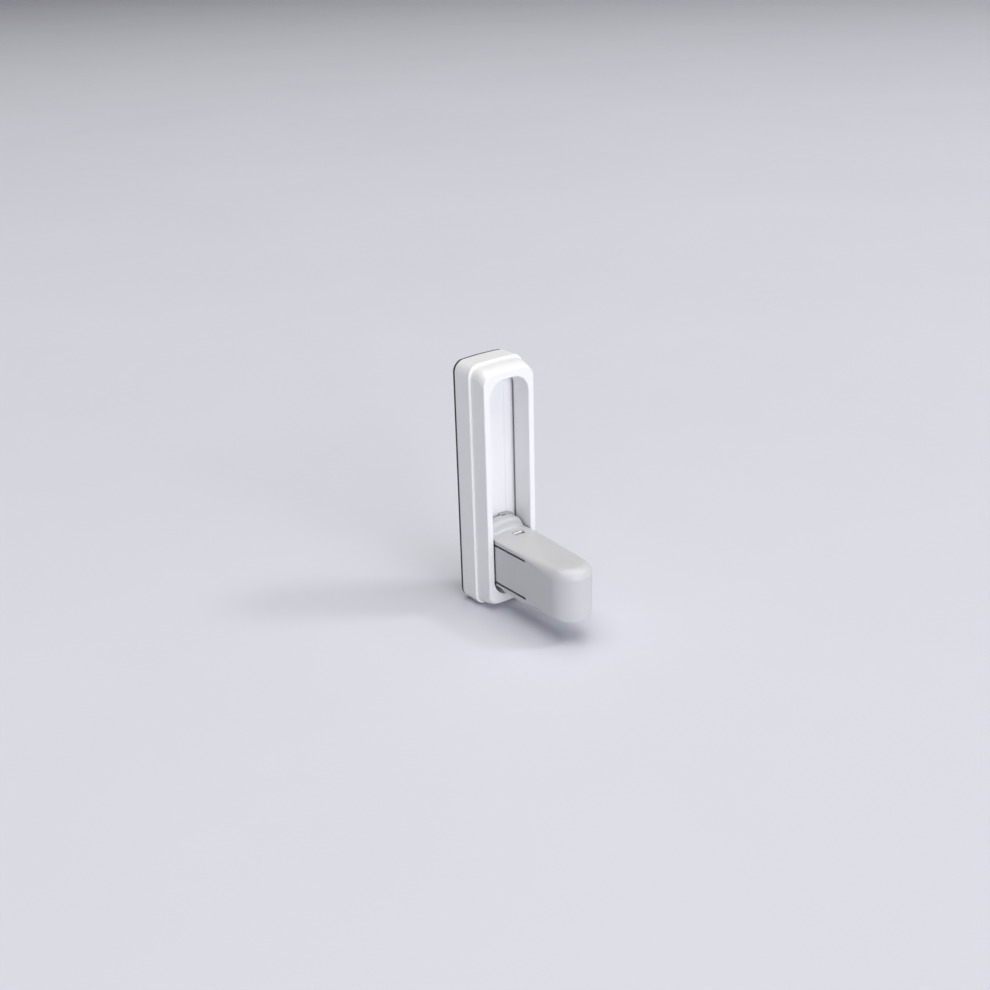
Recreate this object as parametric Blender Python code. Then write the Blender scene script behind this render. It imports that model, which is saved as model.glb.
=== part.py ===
"""Child door handle lock: a track base that sticks on a door below the lever handle, and an arm that
slides up the track and clicks into a rack, so that the handle can't be pushed down. Two press tabs in
the sides of the arm pull their pawls out of the racks and let the arm move.

Metres, +Z up. X runs across the door, the base's back lies in the plane y = 0 and its front faces -Y.
The origin is the centre of the adhesive face. The arm is at the bottom of the track (unlocked).
"""

import math

import bmesh
import bpy

# ---------------------------------------------------------------- driving dimensions, in millimetres
MM = 0.001
GAP = 0.3  # between pieces that touch

# base
BASE_HX, BASE_HZ = 15.0, 58.0  # half width and half height of the rear shell
BASE_CROWN = 0.6  # the ends are slightly arched
PAD_HX, PAD_HZ, PAD_T = 14.8, 57.8, 0.9
SHELL_BACK, SHELL_FRONT = -1.2, -11.3
FLOOR_Y = -3.2  # inside floor of the rear shell
SHELF_Y = -8.5
FRAME_HX, FRAME_FRONT = 13.75, -20.2
FRAME_UNDER = -10.9  # underside of the frame's side walls
LIP_HX, LIP_Y = 11.6, -9.75  # a lip round the channel reaches further down and hides the racks
CHANNEL_HX, CHANNEL_HZ, CHANNEL_R = 10.7, 51.3, 8.0
TRACK_Y = -8.5  # front of the track plate
BOSS_X, BOSS_Z = 8.5, 53.0

# rack: a 2.75 mm pitch, so the travel of 66 mm is 24 teeth
PITCH, TEETH = 2.75, 30
TRAVEL = 66.0
RACK_TIP, RACK_ROOT, RACK_BACK = 11.9, 12.8, 13.5
RACK_Y0, RACK_Y1 = -8.8, -10.6
RACK_Z0 = -41.5

# arm
ARM_HX, ARM_Z0, ARM_Z1 = 10.2, -46.2, -21.7
ARM_ZC = -33.75
TIP_Y = -58.5  # centre of the half-round tip
WALL = 1.6
COLLAR_Y0, COLLAR_Y1 = -10.8, -16.0
COLLAR_HX, COLLAR_Z0, COLLAR_Z1 = 10.3, -49.8, -16.6
FOOT_HX, FOOT_Z0, FOOT_Z1 = 11.6, -50.0, -16.35
STEP_X = 1.3  # the foot's upper edge is high to the right of this and cut away to the left
FOOT_Y0, FOOT_Y1 = -8.8, -10.5
FLANGE_Y1 = -9.45  # the foot's thin edges run under the lip
HINGE_Y, HINGE_X = -41.4, 9.4
TAB_FREE_Y = -16.3
SLIT_TOP, SLIT_BOTTOM, SLIT_W = -24.9, -43.45, 1.1  # centre lines and width
SPRING_Y = -22.0
SPRING_R, WIRE_R, SPRING_HX, SPRING_TURNS = 2.2, 0.3, 6.75, 6

# ---------------------------------------------------------------- start from nothing
for item in list(bpy.data.objects):
    bpy.data.objects.remove(item, do_unlink=True)


def material(name, colour, roughness, metallic=0.0):
    mat = bpy.data.materials.new(name)
    mat.use_nodes = True
    shader = mat.node_tree.nodes["Principled BSDF"]
    shader.inputs["Base Color"].default_value = (*colour, 1.0)
    shader.inputs["Roughness"].default_value = roughness
    shader.inputs["Metallic"].default_value = metallic
    mat.diffuse_color = (*colour, 1.0)
    return mat


BASE_WHITE = material("base_white", (0.87, 0.87, 0.88), 0.38)
TRACK_WHITE = material("track_white", (0.84, 0.84, 0.85), 0.42)
ARM_GREY = material("arm_grey", (0.66, 0.66, 0.67), 0.40)
CORE_WHITE = material("core_white", (0.80, 0.80, 0.80), 0.45)
ACETAL = material("acetal", (0.80, 0.80, 0.76), 0.35)
STEEL = material("steel", (0.62, 0.62, 0.64), 0.30, 1.0)
ZINC = material("zinc_screw", (0.55, 0.56, 0.58), 0.35, 1.0)
FOAM = material("foam_tape", (0.06, 0.06, 0.065), 0.90)


# ---------------------------------------------------------------- mesh helpers
def finish_mesh(name, bm, mat, origin=(0, 0, 0), parent=None, smooth=None):
    """Turns a bmesh in millimetres and world place into an object whose origin is at origin."""
    bmesh.ops.recalc_face_normals(bm, faces=bm.faces)
    for v in bm.verts:
        v.co = [(v.co[i] - origin[i]) * MM for i in range(3)]
    mesh = bpy.data.meshes.new(name)
    bm.to_mesh(mesh)
    bm.free()
    if smooth:
        mesh.shade_smooth()
        mesh.set_sharp_from_angle(angle=math.radians(smooth))
    obj = bpy.data.objects.new(name, mesh)
    bpy.context.scene.collection.objects.link(obj)
    if mat:
        mesh.materials.append(mat)
    base = (0, 0, 0)
    if parent is not None:
        obj.parent = parent
        base = parent["at_mm"]
    obj.location = [(origin[i] - base[i]) * MM for i in range(3)]
    return obj


def empty(name, at, parent=None):
    obj = bpy.data.objects.new(name, None)
    bpy.context.scene.collection.objects.link(obj)
    obj["at_mm"] = list(at)
    base = (0, 0, 0)
    if parent is not None:
        obj.parent = parent
        base = parent["at_mm"]
    obj.location = [(at[i] - base[i]) * MM for i in range(3)]
    obj.empty_display_size = 0.005
    return obj


def add_loft(bm, rings):
    """Skins rings of equal length, in order, and caps both ends."""
    made = [[bm.verts.new(p) for p in ring] for ring in rings]
    n = len(rings[0])
    for a, b in zip(made, made[1:]):
        for i in range(n):
            j = (i + 1) % n
            bm.faces.new((a[i], a[j], b[j], b[i]))
    bm.faces.new(list(reversed(made[0])))
    bm.faces.new(made[-1])


def add_box(bm, x0, x1, y0, y1, z0, z1):
    add_loft(bm, [[(x, y, z) for x, z in ((x0, z0), (x1, z0), (x1, z1), (x0, z1))] for y in (y0, y1)])


def add_prism_y(bm, points, y0, y1):
    """A polygon in X and Z, extruded along Y."""
    add_loft(bm, [[(x, y, z) for x, z in points] for y in (y0, y1)])


def add_prism_z(bm, points, z0, z1):
    """A polygon in X and Y, extruded along Z."""
    add_loft(bm, [[(x, y, z) for x, y in points] for z in (z0, z1)])


def add_turned_y(bm, x, z, profile, segments):
    """A profile of (radius, y) pairs turned about an axis along Y."""
    rings = []
    for radius, y in profile:
        rings.append([(x + radius * math.cos(2 * math.pi * i / segments), y,
                       z + radius * math.sin(2 * math.pi * i / segments)) for i in range(segments)])
    add_loft(bm, rings)


def cutter(name, build):
    """A hidden operand for a Boolean modifier."""
    bm = bmesh.new()
    build(bm)
    obj = finish_mesh(name, bm, None)
    obj.hide_render = True
    obj.display_type = "WIRE"
    return obj


def boolean(obj, other, operation):
    mod = obj.modifiers.new(other.name, "BOOLEAN")
    mod.operation = operation
    mod.solver = "EXACT"
    mod.object = other
    return obj


# ---------------------------------------------------------------- outlines
def outline(hx, z0, z1, r0, r1, crown0=0.0, crown1=0.0, seg=6, mid=4):
    """A rounded rectangle in X and Z. r0 and crown0 are at the lower end, r1 and crown1 at the upper one."""
    pts = []

    def arc(cx, cz, r, a0, a1, bend):
        for i in range(seg + 1):
            a = math.radians(a0 + (a1 - a0) * i / seg)
            x, z = cx + r * math.cos(a), cz + r * math.sin(a)
            pts.append((x, z + bend * (x / hx) ** 2))

    def run(xa, xb, z, bend):
        for i in range(1, mid):
            x = xa + (xb - xa) * i / mid
            pts.append((x, z + bend * (x / hx) ** 2))

    arc(hx - r0, z0 + r0, r0, -90, 0, crown0)
    arc(hx - r1, z1 - r1, r1, 0, 90, -crown1)
    run(hx - r1, -(hx - r1), z1, -crown1)
    arc(-(hx - r1), z1 - r1, r1, 90, 180, -crown1)
    arc(-(hx - r0), z0 + r0, r0, 180, 270, crown0)
    run(-(hx - r0), hx - r0, z0, crown0)
    return pts


def level(points, y):
    return [(x, y, z) for x, z in points]


def rounding(depth, a, b):
    """How far an elliptical edge of width a and height b stands back at a depth below its start."""
    return a * (1 - math.sqrt(1 - ((b - depth) / b) ** 2)) if depth < b else 0.0


def plan(hx, y_back, y_centre, z, seg=14):
    """The arm's hollow seen from above: straight sides and a half-round tip."""
    pts = [(hx, y_back, z)]
    for i in range(seg + 1):
        a = math.pi * i / seg
        pts.append((hx * math.cos(a), y_centre - hx * math.sin(a), z))
    pts.append((-hx, y_back, z))
    return pts


# ================================================================ BASE
# adhesive foam pad, set in from the shell's outline
bm = bmesh.new()
pad = outline(PAD_HX, -PAD_HZ, PAD_HZ, 4.8, 4.8, BASE_CROWN, BASE_CROWN)
add_loft(bm, [level(pad, 0.0), level(pad, -PAD_T)])
finish_mesh("adhesive_pad", bm, FOAM)


# rear shell: a tray with a shelf for the racks
def base_ring(inset, y, r=5.0):
    return level(outline(BASE_HX - inset, -(BASE_HZ - inset), BASE_HZ - inset, r - inset, r - inset,
                         BASE_CROWN, BASE_CROWN), y)


bm = bmesh.new()
add_loft(bm, [base_ring(0.5, SHELL_BACK), base_ring(0.15, SHELL_BACK - 0.15), base_ring(0.0, SHELL_BACK - 0.5),
              base_ring(0.0, SHELL_FRONT + 0.4), base_ring(0.12, SHELL_FRONT + 0.12), base_ring(0.4, SHELL_FRONT)])
rear_shell = finish_mesh("rear_shell", bm, BASE_WHITE, smooth=30)


def shell_cavity(b):
    low = outline(12.0, -56.0, 56.0, 3.0, 3.0, BASE_CROWN, BASE_CROWN)
    high = outline(13.8, -56.8, 56.8, 3.9, 3.9, BASE_CROWN, BASE_CROWN)
    add_loft(b, [level(low, FLOOR_Y), level(low, SHELF_Y), level(high, SHELF_Y), level(high, -13.0)])


def at_bosses(b, profile, segments=20):
    for sx in (-1, 1):
        for sz in (-1, 1):
            add_turned_y(b, sx * BOSS_X, sz * BOSS_Z, profile, segments)


boolean(rear_shell, cutter("cut_shell_cavity", shell_cavity), "DIFFERENCE")
boolean(rear_shell, cutter("add_shell_bosses", lambda b: at_bosses(b, [(2.7, -2.4), (2.7, -5.8)])), "UNION")
boolean(rear_shell, cutter("cut_shell_screws", lambda b: at_bosses(
    b, [(2.35, -0.6), (2.35, -2.7), (1.35, -2.7), (1.35, -7.0)])), "DIFFERENCE")

# track plate: the floor of the channel, with rounded edges, two fine guide grooves and ribs under it
def track_section():
    pts = []
    half = [(0.0, TRACK_Y), (5.8, TRACK_Y), (6.0, TRACK_Y + 0.25), (6.2, TRACK_Y)]
    for i in range(6):
        a = math.radians(90 * i / 5)
        half.append((10.3 + 1.4 * math.sin(a), TRACK_Y + 0.9 * (1 - math.cos(a))))
    half += [(11.7, -3.5), (10.2, -3.5), (10.2, -6.9), (0.9, -6.9), (0.9, -3.5)]
    pts += half[1:]
    pts += [(-x, y) for x, y in reversed(half[1:])]
    return pts


bm = bmesh.new()
add_prism_z(bm, track_section(), -50.0, 50.0)
track_plate = finish_mesh("track_plate", bm, TRACK_WHITE, smooth=30)


def track_tongues(b):
    for s in (-1, 1):
        za, zb = sorted((s * 49.0, s * 54.6))
        add_box(b, -5.6, 5.6, -7.0, TRACK_Y - 0.0, za, zb)


boolean(track_plate, cutter("add_track_tongues", track_tongues), "UNION")


# front frame: the raised tier with the long channel through it
def frame_ring(hx, hz, r, y):
    return level(outline(hx, -hz, hz, r, r, BASE_CROWN, BASE_CROWN), y)


bm = bmesh.new()
add_loft(bm, [
    frame_ring(13.5, 56.6, 4.6, FRAME_UNDER), frame_ring(13.5, 56.6, 4.6, -11.6),
    frame_ring(FRAME_HX, 57.0, 4.4, -11.6), frame_ring(FRAME_HX, 57.0, 4.6, -13.5),
    frame_ring(FRAME_HX, 56.8, 4.8, -15.5), frame_ring(FRAME_HX, 56.4, 5.0, -17.3),
    frame_ring(FRAME_HX, 55.85, 5.2, -18.8), frame_ring(FRAME_HX, 55.4, 5.3, -19.6),
    frame_ring(FRAME_HX - 0.15, 55.05, 5.2, -20.0), frame_ring(FRAME_HX - 0.5, 54.65, 4.9, FRAME_FRONT)])
front_frame = finish_mesh("front_frame", bm, BASE_WHITE, smooth=30)


def frame_blocks(b):
    for s in (-1, 1):
        za, zb = sorted((s * 51.0, s * 55.6))
        add_box(b, -11.0, 11.0, -8.8, -12.0, za, zb)


def frame_lip(b):
    add_prism_y(b, outline(LIP_HX, -52.2, 52.2, 8.9, 8.9, 0, 0, seg=10), LIP_Y, -12.5)


def channel(b):
    def ring(grow, y):
        return level(outline(CHANNEL_HX + grow, -CHANNEL_HZ - grow, CHANNEL_HZ + grow, CHANNEL_R + grow,
                             CHANNEL_R + grow, 0, 0, seg=10), y)
    add_loft(b, [ring(0, -7.0), ring(0, -19.75), ring(0.12, -20.02), ring(0.45, FRAME_FRONT), ring(1.2, -21.0)])


boolean(front_frame, cutter("add_frame_lip", frame_lip), "UNION")
boolean(front_frame, cutter("add_frame_blocks", frame_blocks), "UNION")
boolean(front_frame, cutter("add_frame_bosses", lambda b: at_bosses(b, [(2.3, -6.1), (2.3, -10.0)])), "UNION")
boolean(front_frame, cutter("cut_frame_channel", channel), "DIFFERENCE")
boolean(front_frame, cutter("cut_frame_pilots", lambda b: at_bosses(b, [(1.3, -5.0), (1.3, -10.4)], 16)), "DIFFERENCE")


# toothed racks on the shell's shelf, hidden under the frame's side walls
def rack_profile(side):
    """Teeth with a flat top face, which carries the arm, and a sloping underside, which lets it click upwards."""
    z_top = RACK_Z0 + TEETH * PITCH
    pts = [(RACK_BACK, RACK_Z0), (RACK_BACK, z_top)]
    inner = []
    for k in range(TEETH):
        z = RACK_Z0 + k * PITCH
        inner += [(RACK_ROOT, z + 1.05), (RACK_TIP, z + 2.35), (RACK_TIP, z + PITCH)]
        if k < TEETH - 1:
            inner.append((RACK_ROOT, z + PITCH))
    inner = [(RACK_ROOT, RACK_Z0)] + inner
    pts += list(reversed(inner))
    return [(side * x, z) for x, z in pts]


for side, word in ((-1, "left"), (1, "right")):
    bm = bmesh.new()
    add_prism_y(bm, rack_profile(side), RACK_Y0, RACK_Y1)
    finish_mesh("rack_" + word, bm, ACETAL)

# four screws from the back of the shell into the frame
for number, (sx, sz) in enumerate(((-1, 1), (1, 1), (-1, -1), (1, -1)), 1):
    bm = bmesh.new()
    add_turned_y(bm, sx * BOSS_X, sz * BOSS_Z,
                 [(1.5, -1.3), (2.0, -1.6), (2.0, -2.4), (0.95, -2.4), (0.95, -8.9), (0.5, -9.7)], 16)
    finish_mesh(f"frame_screw_{number}", bm, ZINC, origin=(sx * BOSS_X, -1.3, sz * BOSS_Z), smooth=40)

# ================================================================ ARM
slider = empty("slider_axis", (0.0, -9.65, ARM_ZC))


# foot: runs on the track plate with its thin edges under the frame's lip, notched for the pawls
def foot_outline(hx, inset, r0):
    pts = outline(hx, FOOT_Z0 + inset, FOOT_Z1 - inset, r0, 5.4, 0.4, 1.4, seg=5, mid=4)
    z_low, z_high, depth = -38.9 - inset, -28.6 + inset, 5.0 - inset
    right = [(hx, z_low), (depth, z_low), (depth, z_high), (hx, z_high)]
    left = [(-x, z) for x, z in reversed(right)]
    first, rest = pts[:6], pts[6:]
    # pts runs: lower right arc (6), upper right arc (6), top (3), upper left arc (6), lower left arc (6), bottom (3)
    upper, lower_left = rest[:15], rest[15:]
    return first + right + upper + left + lower_left


bm = bmesh.new()
edge, body = foot_outline(FOOT_HX, 0.0, 4.2), foot_outline(10.35, 0.2, 7.5)
add_loft(bm, [level(edge, FOOT_Y0), level(edge, FLANGE_Y1), level(body, FLANGE_Y1), level(body, FOOT_Y1)])
slide_foot = finish_mesh("slide_foot", bm, ARM_GREY, origin=(0, -9.65, ARM_ZC), parent=slider, smooth=30)
FOOT_SCREWS = (-27.2, -40.6)


def foot_holes(b):
    for z in FOOT_SCREWS:
        add_turned_y(b, 0, z, [(2.5, -8.4), (2.3, FOOT_Y0 - 0.2), (1.35, -10.05), (1.35, -11.0)], 20)


def foot_step(b):
    """The upper edge is cut away on the left, and the short slot beside the step leaves its end springy."""
    add_prism_y(b, [(-13.0, -15.0), (-13.0, -20.2), (STEP_X + 2.6, -20.2), (STEP_X + 2.6, -19.5), (STEP_X - 0.3, -19.5),
                    (STEP_X - 0.1, -18.4), (STEP_X, -15.0)], -8.0, -11.5)


boolean(slide_foot, cutter("cut_foot_step", foot_step), "DIFFERENCE")
boolean(slide_foot, cutter("cut_foot_holes", foot_holes), "DIFFERENCE")

# core: the beam inside the arm, fixed to the foot, with the hook that the arm's shell snaps over
def core_section():
    zt, zb = ARM_Z1 - WALL - GAP, ARM_Z0 + WALL + GAP
    right = [(6.0, zb), (6.0, zb + 1.6), (1.1, zb + 1.6), (1.1, zt - 1.6), (6.0, zt - 1.6), (6.0, zt)]
    return right + [(-x, z) for x, z in reversed(right)]


bm = bmesh.new()
add_prism_y(bm, core_section(), -12.0, -53.0)
arm_core = finish_mesh("arm_core", bm, CORE_WHITE, origin=(0, -9.65, ARM_ZC), parent=slider)
HOOK_X0, HOOK_X1, HOOK_Y0, HOOK_Y1 = -0.3, 4.5, -20.75, -21.75
SNAP_X0, SNAP_X1, SNAP_Y0, SNAP_Y1 = -0.6, 4.8, -20.45, -23.5  # the window over the hook


def core_block(b):
    add_box(b, -4.8, 4.8, -10.8, -15.6, ARM_Z0 + WALL + GAP + 0.05, ARM_Z1 - WALL - GAP - 0.05)


def core_hook(b):
    z0 = ARM_Z1 - WALL - GAP - 0.6
    pts = [(HOOK_Y0, z0), (HOOK_Y0, ARM_Z1 - 0.05), (HOOK_Y1, ARM_Z1 - 0.2), (HOOK_Y1, z0)]
    add_loft(b, [[(x, y, z) for y, z in pts] for x in (HOOK_X0, HOOK_X1)])


def core_nose(b):
    add_box(b, HOOK_X0, 2.7, HOOK_Y1 + 0.5, -22.5, ARM_Z1 - WALL - GAP - 0.5, ARM_Z1 - 1.1)


def core_holes(b):
    for z in FOOT_SCREWS:
        add_turned_y(b, 0, z, [(1.3, -10.0), (1.3, -15.3)], 16)
    # the spring's way through the web
    rings = []
    for x in (-3.0, 3.0):
        rings.append([(x, SPRING_Y + 3.2 * math.cos(2 * math.pi * i / 20),
                       ARM_ZC + 3.2 * math.sin(2 * math.pi * i / 20)) for i in range(20)])
    add_loft(b, rings)
    # an opening in the flange in front of the hook's free corner
    add_box(b, 2.85, 5.2, -22.2, -24.0, ARM_Z1 - WALL - GAP - 2.2, ARM_Z1 - WALL)


boolean(arm_core, cutter("add_core_block", core_block), "UNION")
boolean(arm_core, cutter("add_core_hook", core_hook), "UNION")
boolean(arm_core, cutter("add_core_nose", core_nose), "UNION")
boolean(arm_core, cutter("cut_core_holes", core_holes), "DIFFERENCE")


# shell of the arm: hollow, with a collar that fills the channel, and a window in each side for its press tab
STATIONS = (-10.9, -23.5, -26.5, -34.0, -39.5, -43.0, -50.0)


def arm_level(z):
    """One level of the arm. The upper edge's rounding grows towards the tip, the lower edge is sharp at the rib."""
    def inset(y, bend=0.0):
        t = min(1.0, max(0.0, (-22.0 - y) / 36.5))
        away = min(1.0, max(0.0, (-39.5 - y) / 3.5, (y + 26.5) / 3.0))
        under = 0.5 + 1.7 * away * math.cos(math.pi / 2 * min(1.0, bend / 50.0))
        return max(rounding(ARM_Z1 - 0.25 - z, 4.5 + 0.6 * t, 0.8 + 4.2 * t ** 1.9), rounding(z - ARM_Z0, under, under))

    side = [(ARM_HX - inset(y), y) for y in STATIONS]
    tip = []
    for i in range(17):
        a = 180.0 * i / 16
        r = ARM_HX - inset(TIP_Y, min(a, 180.0 - a))
        tip.append((r * math.cos(math.radians(a)), TIP_Y - r * math.sin(math.radians(a))))
    pts = side + tip + [(-x, y) for x, y in reversed(side)]
    return [(x, y, z) for x, y in pts]


def arm_cap(hx, z):
    """A level of the slightly crowned top, with as many points as the levels below it."""
    pts = [(hx, y) for y in STATIONS]
    pts += [(hx * math.cos(math.pi * i / 16), TIP_Y - hx * math.sin(math.pi * i / 16)) for i in range(17)]
    pts += [(-hx, y) for y in reversed(STATIONS)]
    return [(x, y, z) for x, y in pts]


def arm_rings():
    levels = [ARM_Z0 + h for h in (0.0, 0.12, 0.3, 0.5, 0.9, 1.5, 2.2)]
    levels += [ARM_Z1 - 0.25 - w for w in (5.0, 3.7, 2.6, 1.8, 1.2, 0.75, 0.4, 0.15, 0.0)]
    return [arm_level(z) for z in levels] + [arm_cap(3.4, ARM_Z1 - 0.05), arm_cap(1.0, ARM_Z1)]


bm = bmesh.new()
add_loft(bm, arm_rings())
arm_shell = finish_mesh("arm_shell", bm, ARM_GREY, origin=(0, -9.65, ARM_ZC), parent=slider, smooth=30)


def collar(b):
    def ring(d, y):
        return level(outline(COLLAR_HX - d, COLLAR_Z0 + d, COLLAR_Z1 - d, 7.6 - d, 4.6 - d, 0.0, 2.0,
                             seg=6, mid=4), y)
    add_loft(b, [ring(0, COLLAR_Y0), ring(0, -14.3), ring(0.23, -15.15), ring(0.85, -15.77), ring(1.7, COLLAR_Y1)])


def collar_root(b):
    """The hollow curve between the collar's front and the arm's top."""
    rings = []
    for x in (-9.3, -7.0, -3.5, 0.0, 3.5, 7.0, 9.3):
        k, drop = 1.0 - 0.6 * (abs(x) / 9.3) ** 6, 0.25 * (x / 6.6) ** 2
        curve = [(-16.0, 1.8 * k), (-16.12, 1.1 * k), (-16.4, 0.6 * k), (-16.9, 0.25 * k), (-17.8, -0.02)]
        rings.append([(x, -15.6, ARM_Z1 - 1.5)] + [(x, -15.6, ARM_Z1 - drop + 1.8 * k)]
                     + [(x, y, ARM_Z1 - drop + up) for y, up in curve] + [(x, -17.8, ARM_Z1 - 1.5)])
    add_loft(b, rings)


def collar_notch(b):
    """A shallow nick in the collar's back edge beside the foot's step."""
    add_box(b, STEP_X - 0.3, STEP_X + 2.2, COLLAR_Y0 + 1.0, COLLAR_Y0 - 0.7, -17.9, -15.0)


def arm_hollow(b):
    hx, z0, z1 = ARM_HX - WALL, ARM_Z0 + WALL, ARM_Z1 - WALL
    add_loft(b, [plan(hx - 0.8, -9.0, TIP_Y, z0), plan(hx, -9.0, TIP_Y, z0 + 0.8),
                 plan(hx, -9.0, TIP_Y, z1 - 1.6), plan(hx - 1.6, -9.0, TIP_Y, z1)])


def arm_windows(b):
    z0, z1 = SLIT_BOTTOM - SLIT_W / 2, SLIT_TOP + SLIT_W / 2
    add_box(b, -12.0, -7.6, HINGE_Y, COLLAR_Y1 + 0.05, z0, z1)
    add_box(b, 7.6, 12.0, HINGE_Y, COLLAR_Y1 + 0.05, z0, z1)
    add_box(b, SNAP_X0, SNAP_X1, SNAP_Y0, SNAP_Y1, ARM_Z1 - 2.6, ARM_Z1 + 1.0)


def arm_rib(b):
    """A low rounded rib across the underside, for the finger that pulls the arm down."""
    rings = []
    for x in (-9.6, 9.6):
        pts = []
        for i in range(9):
            t = i / 8
            pts.append((x, -27.0 - 12.8 * t, ARM_Z0 - 0.5 * math.sin(math.pi * t) ** 0.7 - 0.05))
        pts += [(x, -39.8, ARM_Z0 + 0.8), (x, -27.0, ARM_Z0 + 0.8)]
        rings.append(pts)
    add_loft(b, rings)


boolean(arm_shell, cutter("add_arm_collar", collar), "UNION")
boolean(arm_shell, cutter("add_collar_root", collar_root), "UNION")
boolean(arm_shell, cutter("cut_collar_notch", collar_notch), "DIFFERENCE")
boolean(arm_shell, cutter("add_arm_rib", arm_rib), "UNION")
boolean(arm_shell, cutter("cut_arm_hollow", arm_hollow), "DIFFERENCE")
boolean(arm_shell, cutter("cut_arm_windows", arm_windows), "DIFFERENCE")

# press tabs and the pawls clipped inside them, each pair turning about the tab's thin root
TAB_Z0, TAB_Z1 = SLIT_BOTTOM + SLIT_W / 2, SLIT_TOP - SLIT_W / 2
for side, word in ((-1, "left"), (1, "right")):
    at = (side * HINGE_X, HINGE_Y, ARM_ZC)
    hinge = empty("hinge_" + word, at, parent=slider)
    bm = bmesh.new()
    # seen from above: thick plate, thinned at the root where it bends
    tab = [(ARM_HX, HINGE_Y + GAP), (ARM_HX, TAB_FREE_Y - 0.5), (ARM_HX - 0.3, TAB_FREE_Y - 0.1),
           (ARM_HX - 0.7, TAB_FREE_Y), (ARM_HX - WALL, TAB_FREE_Y), (ARM_HX - WALL, HINGE_Y + 4.0),
           (ARM_HX - 0.9, HINGE_Y + 2.0), (ARM_HX - 0.9, HINGE_Y + GAP)]
    add_prism_z(bm, [(side * x, y) for x, y in tab], TAB_Z0, TAB_Z1)
    finish_mesh("press_tab_" + word, bm, ARM_GREY, origin=at, parent=hinge)

    def pawl_leg(b, side=side):
        leg = [(8.3, -27.5), (8.3, -10.5), (8.3, -8.9), (7.1, -8.9), (7.1, -27.0), (7.5, -27.5)]
        add_prism_z(b, [(side * x, y) for x, y in leg], -37.4, -30.1)

    def pawl_hook(b, side=side):
        """Two ratchet teeth that point outwards, flat below and sloping above."""
        z = RACK_Z0 + PITCH * 2 + 0.15
        pts = [(7.6, z), (12.6, z), (12.6, z + 0.4), (11.6, z + 1.7), (11.6, z + PITCH),
               (12.6, z + PITCH), (12.6, z + PITCH + 0.4), (11.6, z + PITCH + 1.7), (7.6, z + PITCH + 1.7)]
        add_prism_y(b, [(side * x, zz) for x, zz in pts], -8.85, -9.5)

    def pawl_root(b, side=side):
        """The hook's thick inner end, which stays inside the channel."""
        z = RACK_Z0 + PITCH * 2 + 0.2
        xa, xb = sorted((side * 7.7, side * 9.9))
        add_box(b, xa, xb, -9.0, -10.5, z, z + PITCH + 1.6)

    def spring_peg(b, side=side):
        rings = []
        for x, r in ((7.6, 1.45), (5.9, 1.45), (5.5, 1.1)):
            rings.append([(side * x, SPRING_Y + r * math.cos(2 * math.pi * i / 14),
                           ARM_ZC + r * math.sin(2 * math.pi * i / 14)) for i in range(14)])
        add_loft(b, rings)

    bm = bmesh.new()
    pawl_leg(bm)
    pawl = finish_mesh("pawl_" + word, bm, ACETAL, origin=at, parent=hinge)
    boolean(pawl, cutter("add_pawl_hook_" + word, pawl_hook), "UNION")
    boolean(pawl, cutter("add_pawl_root_" + word, pawl_root), "UNION")
    boolean(pawl, cutter("add_spring_peg_" + word, spring_peg), "UNION")

# release spring between the two pawls, along X through the core's web
bm = bmesh.new()
STEPS, SIDES = 14, 6
rings = []
total = SPRING_TURNS * STEPS
for i in range(total + 1):
    t = i / total
    # closed ends: the pitch is small over the first and last turn
    u = (t - math.sin(2 * math.pi * t) / (2 * math.pi) * 0.35)
    x = (SPRING_HX - WIRE_R) * (2 * u - 1)
    a = 2 * math.pi * SPRING_TURNS * t
    radial = (0.0, math.cos(a), math.sin(a))
    centre = (x, SPRING_Y + SPRING_R * radial[1], ARM_ZC + SPRING_R * radial[2])
    ring = []
    for k in range(SIDES):
        b = 2 * math.pi * k / SIDES
        ring.append((centre[0] + WIRE_R * math.sin(b), centre[1] + WIRE_R * math.cos(b) * radial[1],
                     centre[2] + WIRE_R * math.cos(b) * radial[2]))
    rings.append(ring)
add_loft(bm, rings)
finish_mesh("release_spring", bm, STEEL, origin=(0, SPRING_Y, ARM_ZC), parent=slider, smooth=60)

# two countersunk screws from the foot into the core
for number, z in enumerate(FOOT_SCREWS, 1):
    bm = bmesh.new()
    add_turned_y(bm, 0, z, [(1.95, -9.15), (1.0, -10.1), (1.0, -14.2), (0.5, -15.0)], 16)
    finish_mesh(f"foot_screw_{number}", bm, ZINC, origin=(0, -9.15, z), parent=slider, smooth=40)
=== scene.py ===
"""Looks of the child door handle lock: fine surfaces, materials, a plain floor, studio light and the camera.

Shapes are worked out in millimetres in the part's own frame and scaled to metres when a mesh is made.
"""

import math

import bmesh
import bpy
from mathutils import Matrix, Vector


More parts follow.
